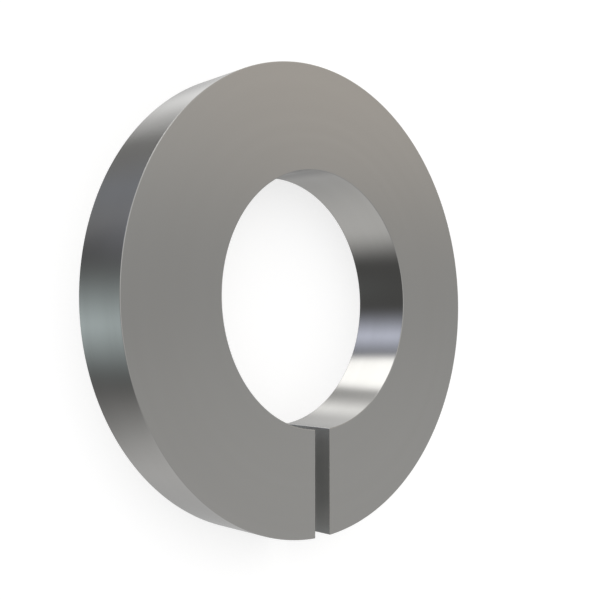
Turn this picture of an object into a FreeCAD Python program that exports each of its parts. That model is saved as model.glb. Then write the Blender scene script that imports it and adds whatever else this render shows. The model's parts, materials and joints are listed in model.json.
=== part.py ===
import FreeCAD, Part
import os

import Sketcher

# Split spring lock washer for an M8 screw, tightened flat.
# It is one length of rectangular spring wire coiled into a single turn round the Z axis and parted
# by a straight saw slot. Both faces are flat and the two ends are level with each other.
# The lower face lies on Z = 0, the bore runs along Z, and the slot is on the -Y side.
# All lengths are in millimetres.

NODE = "lock_washer"

# Driving sizes of the washer
SIZES = [
    ("bore_diameter", 8.15, "clear of an M8 screw shank"),
    ("outside_diameter", 14.8, "outside of the ring"),
    ("ring_thickness", 2.02, "height of the wire section along the axis"),
    ("slot_width", 0.65, "gap between the two cut ends, the same all the way out"),
    ("edge_radius", 0.02, "light deburring round on every edge, cut ends too"),
]


def make_size_sheet(doc):
    """The sheet of driving sizes: a name, a plain number and a note on each row."""
    sheet = doc.addObject("Spreadsheet::Sheet", "sizes")
    for row, (name, value, note) in enumerate(SIZES, start=1):
        sheet.set(f"A{row}", name)
        sheet.set(f"B{row}", str(value))
        sheet.set(f"C{row}", note)
        sheet.setAlias(f"B{row}", name)
    doc.recompute()
    return sheet


def origin_plane(body, role):
    """One of the body's own base planes, such as XY_Plane."""
    return next(feature for feature in body.Origin.OriginFeatures if feature.Role == role)


def add_rectangle(sketch, left, right, low, high):
    """Adds a closed upright rectangle to a sketch and returns the numbers of its four sides."""
    corners = [(left, low), (right, low), (right, high), (left, high)]
    points = [FreeCAD.Vector(x, y, 0) for x, y in corners]
    sides = [
        sketch.addGeometry(Part.LineSegment(points[i], points[(i + 1) % 4]), False)
        for i in range(4)
    ]
    for i in range(4):
        sketch.addConstraint(Sketcher.Constraint("Coincident", sides[i], 2, sides[(i + 1) % 4], 1))
    for side in (sides[0], sides[2]):
        sketch.addConstraint(Sketcher.Constraint("Horizontal", side))
    for side in (sides[1], sides[3]):
        sketch.addConstraint(Sketcher.Constraint("Vertical", side))
    return sides


def drive(sketch, kind, elements, name, expression, start):
    """Adds a named dimension to a sketch and ties it to the size sheet."""
    number = sketch.addConstraint(Sketcher.Constraint(kind, *elements, start))
    sketch.renameConstraint(number, name)
    sketch.setExpression(f"Constraints.{name}", expression)


def coil_ring(body, sheet):
    """The wire section, swept through a whole turn round the Z axis."""
    section = body.newObject("Sketcher::SketchObject", "wire_section")
    section.AttachmentSupport = [(origin_plane(body, "XZ_Plane"), "")]
    section.MapMode = "FlatFace"
    inner = sheet.bore_diameter / 2
    outer = sheet.outside_diameter / 2
    bottom, outside, top, inside = add_rectangle(section, inner, outer, 0, sheet.ring_thickness)
    section.addConstraint(Sketcher.Constraint("PointOnObject", bottom, 1, -1))
    drive(section, "DistanceX", (-1, 1, bottom, 1), "inner_radius", "sizes.bore_diameter / 2", inner)
    drive(section, "DistanceX", (-1, 1, bottom, 2), "outer_radius", "sizes.outside_diameter / 2", outer)
    drive(section, "DistanceY", (outside, 1, outside, 2), "height", "sizes.ring_thickness", sheet.ring_thickness)
    ring = body.newObject("PartDesign::Revolution", "coiled_ring")
    ring.Profile = section
    ring.ReferenceAxis = (section, ["V_Axis"])
    ring.Angle = 360
    return ring


def cut_slot(body, sheet):
    """A straight slot from the middle of the bore out through the -Y side, through the whole thickness."""
    outline = body.newObject("Sketcher::SketchObject", "slot_outline")
    outline.AttachmentSupport = [(origin_plane(body, "XY_Plane"), "")]
    outline.MapMode = "FlatFace"
    half = sheet.slot_width / 2
    reach = sheet.outside_diameter
    far, right, near, left = add_rectangle(outline, -half, half, -reach, 0)
    outline.addConstraint(Sketcher.Constraint("Symmetric", near, 1, near, 2, -1, 1))
    drive(outline, "DistanceX", (far, 1, far, 2), "width", "sizes.slot_width", sheet.slot_width)
    drive(outline, "DistanceY", (right, 1, right, 2), "reach", "sizes.outside_diameter", reach)
    slot = body.newObject("PartDesign::Pocket", "saw_slot")
    slot.Profile = outline
    slot.setExpression("Length", "sizes.ring_thickness")
    slot.Reversed = True
    return slot


def round_edges(body, slotted):
    """The same small rounding on every edge of the slotted ring."""
    rounded = body.newObject("PartDesign::Fillet", "deburred_edges")
    rounded.Base = (slotted, ["Edge1"])
    rounded.UseAllEdges = True
    rounded.setExpression("Radius", "sizes.edge_radius")
    return rounded


def build_washer(doc, sheet):
    """The washer as one body: a coiled ring, the slot that parts it, then the rounded edges."""
    body = doc.addObject("PartDesign::Body", NODE)
    body.Label = NODE
    coil_ring(body, sheet)
    doc.recompute()
    ring_volume = body.Shape.Volume
    slotted = cut_slot(body, sheet)
    doc.recompute()
    slotted_volume = body.Shape.Volume
    if not slotted_volume < ring_volume:
        raise RuntimeError("the slot cut nothing from the ring")
    round_edges(body, slotted)
    doc.recompute()
    if not body.Shape.Volume < slotted_volume:
        raise RuntimeError("no edge was rounded")
    return body


def check(doc, bodies):
    """Stops if any object failed, or a body is not one valid closed solid."""
    for item in doc.Objects:
        if "Invalid" in item.State or "Error" in item.State:
            raise RuntimeError(f"{item.Name} failed: {item.State}")
    for body in bodies:
        shape = body.Shape
        if shape.isNull() or not shape.isValid() or len(shape.Solids) != 1:
            raise RuntimeError(f"{body.Label} is not one valid solid")


def main():
    doc = FreeCAD.newDocument("split_lock_washer")
    sheet = make_size_sheet(doc)
    washer = build_washer(doc, sheet)
    check(doc, [washer])
    os.makedirs("parts", exist_ok=True)
    washer.Shape.exportStep(f"parts/{washer.Label}.step")
    print(f"{washer.Label}: {washer.Shape.Volume:.2f} mm3, {len(washer.Shape.Faces)} faces")


main()
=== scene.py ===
import json
import math

import bmesh
import bpy
import numpy as np
from mathutils import Matrix, Vector


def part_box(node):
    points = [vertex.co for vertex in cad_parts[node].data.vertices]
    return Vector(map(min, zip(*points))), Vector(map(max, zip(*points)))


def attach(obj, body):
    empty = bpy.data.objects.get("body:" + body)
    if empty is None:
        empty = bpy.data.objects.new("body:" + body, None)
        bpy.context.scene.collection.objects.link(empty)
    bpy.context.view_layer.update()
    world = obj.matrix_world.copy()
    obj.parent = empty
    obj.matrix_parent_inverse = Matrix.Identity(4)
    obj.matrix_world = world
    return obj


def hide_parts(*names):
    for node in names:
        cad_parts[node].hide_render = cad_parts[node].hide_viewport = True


MM = 0.001

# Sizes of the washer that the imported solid's box and mounts don't give
SLOT_WIDTH = 0.65 * MM
EDGE_ROUND = 0.02 * MM

# How finely its skin is divided: steps round a corner and once round the ring, where the loops cross each
# flat, how close its outermost loops are to its edges, and how close two points are to be welded
CORNER_STEPS = 8
TURN_STEPS = 384
FLAT_SHARES = (0.25, 0.5, 0.75)
EDGE_LOOP = 0.01 * MM
WELD = 0.0001 * MM

# Each finish of the steel: its bright and its dull tone as linear colours, its roughness on the two, and
# the width, length and depth of its scratches
DRAWN_FINISH = {
    "tones": ((0.42, 0.415, 0.40), (0.40, 0.394, 0.378)),
    "roughness": (0.13, 0.17),
    "scratches": (0.05 * MM, 1.5 * MM, 0.0004 * MM),
}
SAWN_FINISH = {
    "tones": ((0.56, 0.56, 0.55), (0.50, 0.50, 0.49)),
    "roughness": (0.45, 0.55),
    "scratches": (0.06 * MM, 1.0 * MM, 0.0005 * MM),
}

# The tone of the long edges, which handling has rubbed bright
RUBBED_TONE = (0.44, 0.435, 0.42)

# The noise of the scratches, and of the broader unevenness, whose patches are many scratches wide
FINE_NOISE = {"Scale": 1.0, "Detail": 3.0, "Roughness": 0.6}
BROAD_NOISE = {"Scale": 0.12, "Detail": 2.0}

# Camera, at the photograph's viewing angle
CAMERA_PLACE = Vector((-18.99, -1.17, 20.21)) * MM
CAMERA_AIM = Vector((-1.0, -0.054, 2.02)) * MM
CAMERA_UP = Vector((-0.031, 0.999, 0.031))
CAMERA_LENS = 50.14
SENSOR_WIDTH = 36.0
CAMERA_NEAR = 1 * MM

# Studio, a white room. Each round card in it has a name, the azimuth and elevation of its middle, its
# radius and the half width of its soft edge, all in degrees as seen from the washer, then its glow, where
# 1 is white. Front is the slot's side, and each card stands in front of those before it. The face mirrors
# the corners, and the rim and the bore mirror the flags, fills and windows below the washer.
WHITE = (1.0, 1.0, 1.0, 1.0)
CARDS = [
    ("grey front", -65, 5, 90, 20, (0.50, 0.50, 0.50)),
    ("grey floor", 160, -80, 50, 5, (0.65, 0.65, 0.65)),
    ("front fill", -85, -65, 40, 5, (0.90, 0.90, 0.90)),
    ("left flag", 170, -45, 43, 13, (0.13, 0.13, 0.13)),
    ("left window", -168, -60, 3, 18, (1.30, 1.50, 1.55)),
    ("front flag", -110, -70, 12, 10, (0.10, 0.10, 0.10)),
    ("right flag", -30, -65, 15, 35, (0.10, 0.10, 0.10)),
    ("right window", 62, -43, 6, 10, (1.80, 1.80, 1.80)),
    ("back window", 109, -34, 15, 4, (2.60, 2.60, 2.60)),
    ("back flag", 109, -63, 16, 4, (0.29, 0.29, 0.29)),
    ("back glow", 120, -55, 5, 10, (0.36, 0.38, 0.43)),
    ("cool window", 147, -40, 4, 18, (1.80, 1.90, 2.30)),
    ("warm corner", 45, 25, 30, 10, (0.85, 0.80, 0.75)),
    ("plain corner", -35, 35, 30, 12, (0.65, 0.65, 0.65)),
]
FLOOR_SIZE = 4.0
FLOOR_COLOUR = (0.6, 0.6, 0.6, 1.0)
FLOOR_WHITENING = 0.63


def flat_places(length):
    """Shares of a flat's length at which it is divided, with a loop close to each of its two edges."""
    near = EDGE_LOOP / length
    return np.array([near, *FLAT_SHARES, 1 - near])


def wire_section(bore, outside, height):
    """The wire's section, once round it, as the centre of each round and the direction outwards from it.
    Going anticlockwise from the lower flat, each flat is a line between the centres of two corner
    rounds, and each corner stays at its centre while the direction turns a quarter circle."""
    inner, outer = bore + EDGE_ROUND, outside - EDGE_ROUND
    low, high = EDGE_ROUND, height - EDGE_ROUND
    corners = np.array([(inner, low), (outer, low), (outer, high), (inner, high)])
    centres, directions = [], []
    for side in range(4):
        start, end = corners[side], corners[(side + 1) % 4]
        along = flat_places(np.linalg.norm(end - start))
        facing = math.radians(90 * side - 90)
        turning = facing + np.linspace(0, math.pi / 2, CORNER_STEPS + 1)
        centres += [start + along[:, None] * (end - start), np.repeat(end[None], len(turning), axis=0)]
        directions += [np.full(len(along), facing), turning]
    return np.concatenate(centres), np.concatenate(directions)


def on_ring(radius, height, slot_gap, turn):
    """Points of the ring. A point starts where its circle of this radius is slot_gap from the slot's
    middle plane, at the angle asin(slot_gap / radius) from -Y, and turn carries it from there, at 0, all
    the way round to the same gap on the slot's other side, at 1."""
    start = np.arcsin(slot_gap / radius)
    angle = start + turn * (2 * math.pi - 2 * start)
    return np.stack([radius * np.sin(angle), -radius * np.cos(angle), height], axis=-1)


def grid_faces(rows, columns, closed):
    """The four corner numbers of each face of a grid of points, numbered row by row."""
    spans = columns if closed else columns - 1
    row, column = np.meshgrid(np.arange(rows - 1), np.arange(spans), indexing="ij")
    here = row * columns
    after = (column + 1) % columns
    corners = [here + column, here + after, here + columns + after, here + columns + column]
    return np.stack(corners, axis=-1).reshape(-1, 4)


def wrapped_wire(bore, outside, height):
    """The washer's skin as one grid, once round the section by once round the ring.
    A row is the section with rounds of radius r, at a gap from the slot's middle plane. Along the
    rounding of each cut end, whose size is e, the gap is half the slot + e * (1 - sin a) and r is
    e * cos a, for a from a quarter turn down to 0. Between the two ends both stay as they are at 0."""
    centres, directions = wire_section(bore, outside, height)
    lean = np.linspace(math.pi / 2, 0, CORNER_STEPS + 1)
    end_gap = SLOT_WIDTH / 2 + EDGE_ROUND * (1 - np.sin(lean))
    end_round = EDGE_ROUND * np.cos(lean)
    near = EDGE_LOOP / (2 * math.pi * bore)
    between = np.concatenate([[near], np.linspace(0, 1, TURN_STEPS + 1)[1:-1], [1 - near]])
    gap = np.concatenate([end_gap, np.full(len(between), end_gap[-1]), end_gap[::-1]])
    rounding = np.concatenate([end_round, np.full(len(between), end_round[-1]), end_round[::-1]])
    turn = np.concatenate([np.zeros(len(lean)), between, np.ones(len(lean))])
    radius = centres[:, 0] + rounding[:, None] * np.cos(directions)
    level = centres[:, 1] + rounding[:, None] * np.sin(directions)
    points = on_ring(radius, level, gap[:, None], turn[:, None])
    return points.reshape(-1, 3), grid_faces(len(turn), len(directions), True)


def cut_end(bore, outside, height, turn):
    """The flat of one cut end: a grid of straight lines across the section, all of it half the slot's
    width from the slot's middle plane."""
    inner, outer = bore + EDGE_ROUND, outside - EDGE_ROUND
    low, high = EDGE_ROUND, height - EDGE_ROUND
    across = np.concatenate([[0], flat_places(outer - inner), [1]]) * (outer - inner) + inner
    up = np.concatenate([[0], flat_places(high - low), [1]]) * (high - low) + low
    radius, level = np.meshgrid(across, up, indexing="ij")
    points = on_ring(radius, level, SLOT_WIDTH / 2, turn)
    return points.reshape(-1, 3), grid_faces(len(across), len(up), False)


def make_washer(bore, outside, height):
    """The whole washer as one closed, welded, smoothly shaded mesh. Its first finish is for the drawn
    skin and its second for the cut ends."""
    patches = [
        wrapped_wire(bore, outside, height),
        cut_end(bore, outside, height, 0.0),
        cut_end(bore, outside, height, 1.0),
    ]
    firsts = np.cumsum([0] + [len(points) for points, faces in patches[:-1]])
    points = np.concatenate([points for points, faces in patches])
    faces = np.concatenate([faces + first for (_, faces), first in zip(patches, firsts)])
    mesh = bpy.data.meshes.new("spring_washer")
    mesh.from_pydata(points.tolist(), [], faces.tolist())
    mesh.polygons.foreach_set("use_smooth", np.ones(len(faces), dtype=bool))
    on_cut_ends = np.arange(len(faces)) >= len(patches[0][1])
    mesh.polygons.foreach_set("material_index", on_cut_ends.astype(np.int32))
    skin = bmesh.new()
    skin.from_mesh(mesh)
    bmesh.ops.remove_doubles(skin, verts=skin.verts, dist=WELD)
    bmesh.ops.recalc_face_normals(skin, faces=skin.faces)
    skin.to_mesh(mesh)
    skin.free()
    washer = bpy.data.objects.new("spring_washer", mesh)
    bpy.context.scene.collection.objects.link(washer)
    return washer


def put_node(tree, kind, inputs=None, **settings):
    """Adds a node with its settings. Each input is a plain value, or a socket that feeds it."""
    node = tree.nodes.new(kind)
    for name, value in settings.items():
        setattr(node, name, value)
    for name, value in (inputs or {}).items():
        if isinstance(value, bpy.types.NodeSocket):
            tree.links.new(value, node.inputs[name])
        else:
            node.inputs[name].default_value = value
    return node


def work_out(tree, operation, *values):
    """A Math node's result."""
    return put_node(tree, "ShaderNodeMath", dict(enumerate(values)), operation=operation).outputs[0]


def blend_between(tree, share, low, high):
    """A number that goes from low to high as share goes from 0 to 1."""
    limits = {"Value": share, "To Min": low, "To Max": high}
    return put_node(tree, "ShaderNodeMapRange", limits).outputs["Result"]


def smooth_drop(tree, value, start, end, **settings):
    """A share that is 1 until value reaches start, and drops smoothly to 0 at end."""
    limits = {"Value": value, "From Min": start, "From Max": end, "To Min": 1.0, "To Max": 0.0}
    drop = put_node(tree, "ShaderNodeMapRange", limits, interpolation_type="SMOOTHSTEP", **settings)
    return drop.outputs["Result"]


def bare_view(tree):
    """1 for rays straight from the camera or through glass, and 0 for all others."""
    rays = put_node(tree, "ShaderNodeLightPath").outputs
    return work_out(tree, "ADD", rays["Is Camera Ray"], rays["Is Transmission Ray"])


def new_group(name, inputs, outputs):
    """An empty node group with its inputs and outputs, each a name and a kind of socket."""
    group = bpy.data.node_groups.new(name, "ShaderNodeTree")
    for socket, kind in inputs.items():
        group.interface.new_socket(socket, in_out="INPUT", socket_type=kind)
    for socket, kind in outputs.items():
        group.interface.new_socket(socket, in_out="OUTPUT", socket_type=kind)
    entry = group.nodes.new("NodeGroupInput")
    leave = group.nodes.new("NodeGroupOutput")
    return group, entry, leave


def from_axis(tree):
    """Where the surface is, as separate X, Y and Z, and how far it is from the bore's axis."""
    place = put_node(tree, "ShaderNodeTexCoord").outputs["Object"]
    parts = put_node(tree, "ShaderNodeSeparateXYZ", {"Vector": place}).outputs
    flat = put_node(tree, "ShaderNodeCombineXYZ", {"X": parts["X"], "Y": parts["Y"]}).outputs[0]
    return parts, put_node(tree, "ShaderNodeVectorMath", {0: flat}, operation="LENGTH").outputs["Value"]


def scratch_group():
    """Long fine scratches. Place is where the surface is, in metres, with the scratches running along
    its Z part. Height is the scratches' depth and Tone is a broader unevenness of the finish."""
    group, entry, leave = new_group(
        "fine_scratches",
        {"Place": "NodeSocketVector", "Width": "NodeSocketFloat", "Length": "NodeSocketFloat"},
        {"Height": "NodeSocketFloat", "Tone": "NodeSocketFloat"},
    )
    across = work_out(group, "DIVIDE", 1.0, entry.outputs["Width"])
    along = work_out(group, "DIVIDE", 1.0, entry.outputs["Length"])
    scale = put_node(group, "ShaderNodeCombineXYZ", {"X": across, "Y": across, "Z": along}).outputs[0]
    steps = {0: entry.outputs["Place"], 1: scale}
    place = put_node(group, "ShaderNodeVectorMath", steps, operation="MULTIPLY").outputs[0]
    fine = put_node(group, "ShaderNodeTexNoise", {"Vector": place, **FINE_NOISE})
    broad = put_node(group, "ShaderNodeTexNoise", {"Vector": place, **BROAD_NOISE})
    group.links.new(fine.outputs["Fac"], leave.inputs["Height"])
    group.links.new(broad.outputs["Fac"], leave.inputs["Tone"])
    return group


def wear_group(bore, outside, height):
    """Where the long edges are rubbed bright: 1 on the corner rounds, fading to 0 over the width of one
    round further in. The section's nearest edge is at the distance max(from a wall, from a face)."""
    group, entry, leave = new_group("rubbed_edges", {}, {"Mask": "NodeSocketFloat"})
    parts, radius = from_axis(group)
    from_bore = work_out(group, "SUBTRACT", radius, bore)
    from_outside = work_out(group, "SUBTRACT", outside, radius)
    from_top = work_out(group, "SUBTRACT", height, parts["Z"])
    from_wall = work_out(group, "MINIMUM", from_bore, from_outside)
    from_face = work_out(group, "MINIMUM", parts["Z"], from_top)
    reach = work_out(group, "MAXIMUM", from_wall, from_face)
    mask = smooth_drop(group, reach, EDGE_ROUND, 2 * EDGE_ROUND)
    group.links.new(mask, leave.inputs["Mask"])
    return group


def round_the_ring(tree, mean_radius):
    """Where the surface is, as its radius, its height and its length along the coil, all in metres.
    The length is mean_radius * atan2(-x, y), which has its seam in the slot."""
    parts, radius = from_axis(tree)
    angle = work_out(tree, "ARCTAN2", work_out(tree, "MULTIPLY", parts["X"], -1.0), parts["Y"])
    length = work_out(tree, "MULTIPLY", angle, mean_radius)
    unrolled = {"X": radius, "Y": parts["Z"], "Z": length}
    return put_node(tree, "ShaderNodeCombineXYZ", unrolled).outputs[0]


def steel_material(name, finish, scratch, wear, coil_radius=None):
    """A steel with one of the finishes. Its scratches run along the coil of this mean radius, or else
    straight up, and its tone and roughness go between their two values over the broader unevenness."""
    material = bpy.data.materials.new(name)
    material.use_nodes = True
    tree = material.node_tree
    shader = tree.nodes["Principled BSDF"]
    shader.inputs["Metallic"].default_value = 1.0
    if coil_radius:
        place = round_the_ring(tree, coil_radius)
    else:
        place = put_node(tree, "ShaderNodeTexCoord").outputs["Object"]
    width, length, depth = finish["scratches"]
    lines = {"Place": place, "Width": width, "Length": length}
    scratches = put_node(tree, "ShaderNodeGroup", lines, node_tree=scratch).outputs
    rubbed = put_node(tree, "ShaderNodeGroup", node_tree=wear).outputs["Mask"]
    bright, dull = finish["tones"]
    tones = {"Factor": scratches["Tone"], "A": (*bright, 1), "B": (*dull, 1)}
    body = put_node(tree, "ShaderNodeMix", tones, data_type="RGBA").outputs["Result"]
    edges = {"Factor": rubbed, "A": body, "B": (*RUBBED_TONE, 1)}
    colour = put_node(tree, "ShaderNodeMix", edges, data_type="RGBA").outputs["Result"]
    tree.links.new(colour, shader.inputs["Base Color"])
    roughness = blend_between(tree, scratches["Tone"], *finish["roughness"])
    tree.links.new(roughness, shader.inputs["Roughness"])
    bump = put_node(tree, "ShaderNodeBump", {"Height": scratches["Height"], "Distance": depth})
    tree.links.new(bump.outputs["Normal"], shader.inputs["Normal"])
    return material


def card_share(tree, direction, azimuth, elevation, radius, edge, name):
    """How much of a card is seen in each direction: from 1 inside its radius to 0 outside, across its
    soft edge, by the angle from its middle, arccos(direction . middle)."""
    around, up = math.radians(azimuth), math.radians(elevation)
    middle = (math.cos(up) * math.cos(around), math.cos(up) * math.sin(around), math.sin(up))
    facing = put_node(tree, "ShaderNodeVectorMath", {0: direction, 1: middle}, operation="DOT_PRODUCT")
    angle = work_out(tree, "ARCCOSINE", facing.outputs["Value"])
    return smooth_drop(tree, angle, math.radians(radius - edge), math.radians(radius + edge), label=name)


def light_studio():
    """The white studio. The camera sees it bare, and so would glass. The steel mirrors the same white
    room with the cards in it, because in a bare one it would show no form."""
    world = bpy.data.worlds.new("studio")
    world.use_nodes = True
    tree = world.node_tree
    tree.nodes.clear()
    direction = put_node(tree, "ShaderNodeTexCoord").outputs["Generated"]
    room = WHITE
    for name, azimuth, elevation, radius, edge, glow in CARDS:
        share = card_share(tree, direction, azimuth, elevation, radius, edge, name)
        layers = {"Factor": share, "A": room, "B": (*glow, 1)}
        room = put_node(tree, "ShaderNodeMix", layers, data_type="RGBA").outputs["Result"]
    views = {"Factor": bare_view(tree), "A": room, "B": WHITE}
    seen = put_node(tree, "ShaderNodeMix", views, data_type="RGBA").outputs["Result"]
    studio = put_node(tree, "ShaderNodeBackground", {"Color": seen, "Strength": 1.0})
    put_node(tree, "ShaderNodeOutputWorld", {"Surface": studio.outputs[0]})
    bpy.context.scene.world = world


def make_floor():
    """A pale floor that goes white to the camera and keeps the washer's soft shadow. The steel doesn't
    mirror it, so that the rim and the bore show the cards below the washer."""
    bpy.ops.mesh.primitive_plane_add(size=FLOOR_SIZE)
    floor = bpy.context.active_object
    floor.name = "floor"
    floor.visible_glossy = False
    material = bpy.data.materials.new("pale_floor")
    material.use_nodes = True
    tree = material.node_tree
    shader = tree.nodes["Principled BSDF"]
    shader.inputs["Base Color"].default_value = FLOOR_COLOUR
    shader.inputs["Roughness"].default_value = 1.0
    shader.inputs["Specular IOR Level"].default_value = 0.0
    shader.inputs["Emission Color"].default_value = WHITE
    whitening = work_out(tree, "MULTIPLY", bare_view(tree), FLOOR_WHITENING)
    tree.links.new(whitening, shader.inputs["Emission Strength"])
    floor.data.materials.append(material)


def place_camera():
    """The camera, turned so that the slot is at the foot of the picture."""
    back = (CAMERA_PLACE - CAMERA_AIM).normalized()
    right = CAMERA_UP.cross(back).normalized()
    up = back.cross(right)
    lens = bpy.data.cameras.new("camera")
    lens.lens = CAMERA_LENS
    lens.sensor_width = SENSOR_WIDTH
    lens.clip_start = CAMERA_NEAR
    camera = bpy.data.objects.new("camera", lens)
    turn = Matrix((right, up, back)).transposed().to_4x4()
    camera.matrix_world = Matrix.Translation(CAMERA_PLACE) @ turn
    bpy.context.scene.collection.objects.link(camera)
    bpy.context.scene.camera = camera


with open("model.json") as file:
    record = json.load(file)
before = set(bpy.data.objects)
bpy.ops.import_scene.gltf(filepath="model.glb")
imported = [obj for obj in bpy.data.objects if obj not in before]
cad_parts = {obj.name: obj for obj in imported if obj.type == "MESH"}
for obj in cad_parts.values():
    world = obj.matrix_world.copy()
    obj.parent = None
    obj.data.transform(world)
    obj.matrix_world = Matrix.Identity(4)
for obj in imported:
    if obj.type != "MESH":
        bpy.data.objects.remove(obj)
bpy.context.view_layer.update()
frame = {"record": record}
mounts = {mount["name"]: mount for mount in frame["record"]["mounts"]}
bore_radius = mounts["screw_bore"]["dims"]["r_mm"] * MM
outer_radius, _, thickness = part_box("lock_washer")[1]
mean_radius = (bore_radius + outer_radius) / 2

washer = make_washer(bore_radius, outer_radius, thickness)
scratch = scratch_group()
wear = wear_group(bore_radius, outer_radius, thickness)
drawn_steel = steel_material("drawn_spring_steel", DRAWN_FINISH, scratch, wear, mean_radius)
sawn_steel = steel_material("sawn_spring_steel", SAWN_FINISH, scratch, wear)
washer.data.materials.append(drawn_steel)
washer.data.materials.append(sawn_steel)
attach(washer, "root")
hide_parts("lock_washer")

make_floor()
light_studio()
place_camera()
bpy.context.scene.view_settings.view_transform = "Standard"
